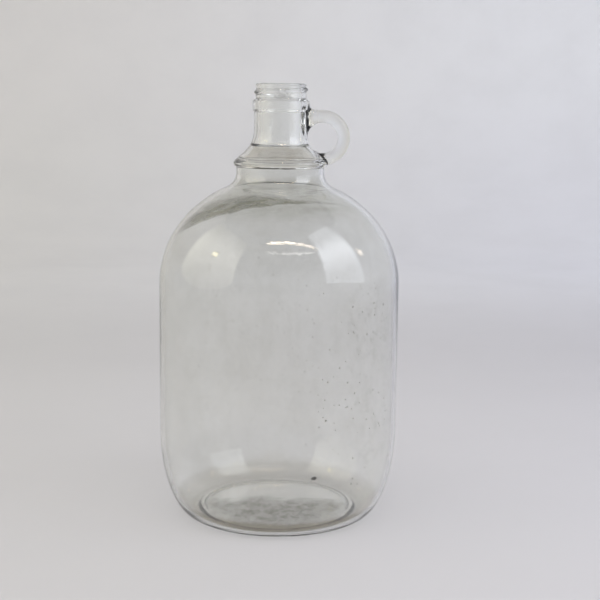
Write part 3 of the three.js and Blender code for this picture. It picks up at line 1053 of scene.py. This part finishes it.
def area_light(name, place, aim, size, power, colour):
    lamp = bpy.data.lights.new(name, "AREA")
    lamp.shape = "RECTANGLE"
    lamp.size, lamp.size_y = size
    lamp.energy = power
    lamp.color = colour
    light = bpy.data.objects.new(name, lamp)
    light.location = place
    way = Vector(aim) - Vector(place)
    light.rotation_euler = way.to_track_quat("-Z", "Y").to_euler()
    bpy.context.scene.collection.objects.link(light)
    return light


def light_card(name, vertices, faces, material):
    """A glowing sheet that the glass mirrors but the camera doesn't see. It casts no shadow."""
    mesh = new_mesh(name, vertices, faces)
    mesh.materials.append(material)
    card = bpy.data.objects.new(name, mesh)
    card.visible_camera = False
    card.visible_shadow = False
    bpy.context.scene.collection.objects.link(card)


def window(name, facing, distance, base, corners, material):
    """A flat four-cornered card. Corners are (sideways, up) in metres, as seen from the jug."""
    way = math.radians(facing)
    out = Vector((math.sin(way), -math.cos(way), 0))
    side = Vector((math.cos(way), math.sin(way), 0))
    vertices = [out * distance + side * across + Vector((0, 0, base + up)) for across, up in corners]
    light_card(name, vertices, [(3, 2, 1, 0)], material)


def light_line(name, distance, points, width, material, seed):
    """A thin uneven ribbon of light along points (bearing, rise) in degrees, seen from the shoulder."""
    rng = np.random.default_rng(seed)
    bearings, rises = np.array(points, float).T
    bearing = np.linspace(bearings[0], bearings[-1], LINE_POINTS)
    rise = np.interp(bearing, bearings, rises)
    wander = np.convolve(rng.normal(size=LINE_POINTS + 4), LINE_SMOOTHING, "valid")
    rise = rise + LINE_WANDER * wander
    uneven = np.convolve(rng.normal(size=LINE_POINTS + 4), LINE_SMOOTHING, "valid")
    half = width / 2 * (1 + LINE_UNEVENNESS * uneven)
    from_start = np.arange(LINE_POINTS)
    half *= np.clip(np.minimum(from_start, from_start[::-1]) / LINE_END, 0.15, 1)
    vertices = []
    for a, e, h in zip(bearing, rise, half):
        for edge in (e - h, e + h):
            flat = math.cos(math.radians(edge)) * distance
            out = Vector((math.sin(math.radians(a)) * flat, -math.cos(math.radians(a)) * flat, 0))
            vertices.append(LINE_CENTRE + out + Vector((0, 0, math.sin(math.radians(edge)) * distance)))
    faces = [(2 * k, 2 * k + 1, 2 * k + 3, 2 * k + 2) for k in range(LINE_POINTS - 1)]
    light_card(name, vertices, faces, material)


def lights():
    """Two windows with a small bright spot, three lines of light, and a fill from above the camera."""
    cool = glow_material("cool_glow", (0.90, 0.93, 1.0), 4.0, 0.42, 0.58, 0.34)
    warm = glow_material("warm_glow", (1.0, 0.97, 0.86), 1.9, 0.5, 0.6, back_share=0.45)
    spot = glow_material("spot_glow", (1.0, 0.92, 0.60), 7.0, 0.5, 1.0)
    lamp = glow_material("lamp_glow", (1.0, 0.84, 0.66), 20.0)
    faint = glow_material("faint_glow", (1.0, 0.98, 0.96), 3.4)
    window("right_window", 65, 0.9, 0.19, ((-0.36, 0.12), (0.33, 0.03), (0.44, 1.60), (-0.28, 1.60)), cool)
    window("left_window", -76, 1.9, 0.10, ((-1.2, -0.1), (1.2, -0.1), (1.2, 2.7), (-1.2, 2.7)), warm)
    window("left_spot", -74, 1.85, 0.10, ((-0.12, 1.05), (0.10, 1.1), (0.16, 1.35), (-0.10, 1.32)), spot)
    curve = [(a, 56 - 0.0058 * (a - 3) ** 2) for a in range(-20, 49, 4)]
    light_line("strip", 1.5, curve, 1.3, lamp, 4)
    light_line("strip_end", 1.5, [(92, 30), (97, 23)], 1.6, lamp, 5)
    light_line("second_strip", 1.5, [(-16, 43.6), (42, 42.0)], 1.6, faint, 6)
    fill = area_light("fill", (0, -1.0, 2.7), (0.25, 1.3, 0.5), (2.5, 1.6), 30.5, (0.99, 0.985, 1.0))
    fill.visible_glossy = False
    fill.visible_transmission = False


def room():
    """Even dim light from all round."""
    world = bpy.data.worlds.new("room")
    world.use_nodes = True
    background = world.node_tree.nodes["Background"]
    background.inputs["Color"].default_value = (0.95, 0.95, 1.0, 1)
    background.inputs["Strength"].default_value = 0.26
    bpy.context.scene.world = world


def camera():
    yaw, pitch, roll = (math.radians(angle) for angle in (CAMERA_YAW, CAMERA_PITCH, CAMERA_ROLL))
    right = Vector((math.cos(yaw), -math.sin(yaw), 0))
    ahead = Vector((math.sin(yaw) * math.cos(pitch), math.cos(yaw) * math.cos(pitch), -math.sin(pitch)))
    up = right.cross(ahead)
    side = math.cos(roll) * right + math.sin(roll) * up
    top = -math.sin(roll) * right + math.cos(roll) * up
    lens = bpy.data.cameras.new("camera")
    lens.sensor_width = 36.0
    lens.lens = CAMERA_LENS
    view = bpy.data.objects.new("camera", lens)
    turn = Matrix((side, top, -ahead)).transposed().to_4x4()
    view.matrix_world = Matrix.Translation(CAMERA_PLACE) @ turn
    bpy.context.scene.collection.objects.link(view)
    bpy.context.scene.camera = view


def light_paths():
    cycles = bpy.context.scene.cycles
    cycles.max_bounces = 32
    cycles.transmission_bounces = 28
    cycles.transparent_max_bounces = 16
    bpy.context.scene.view_settings.view_transform = "Standard"


def main():
    camera()
    light_paths()
    sweep()
    lights()
    room()
    mesh = jug_glass()
    mesh.materials.clear()
    mesh.materials.append(glass_material())
    glass = bpy.data.objects.new("jug_glass", mesh)
    bpy.context.scene.collection.objects.link(glass)
    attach(glass, "root")
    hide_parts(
        "base", "body_wall", "shoulder", "collar", "neck", "transfer_bead", "finish", "ring_handle"
    )


main()
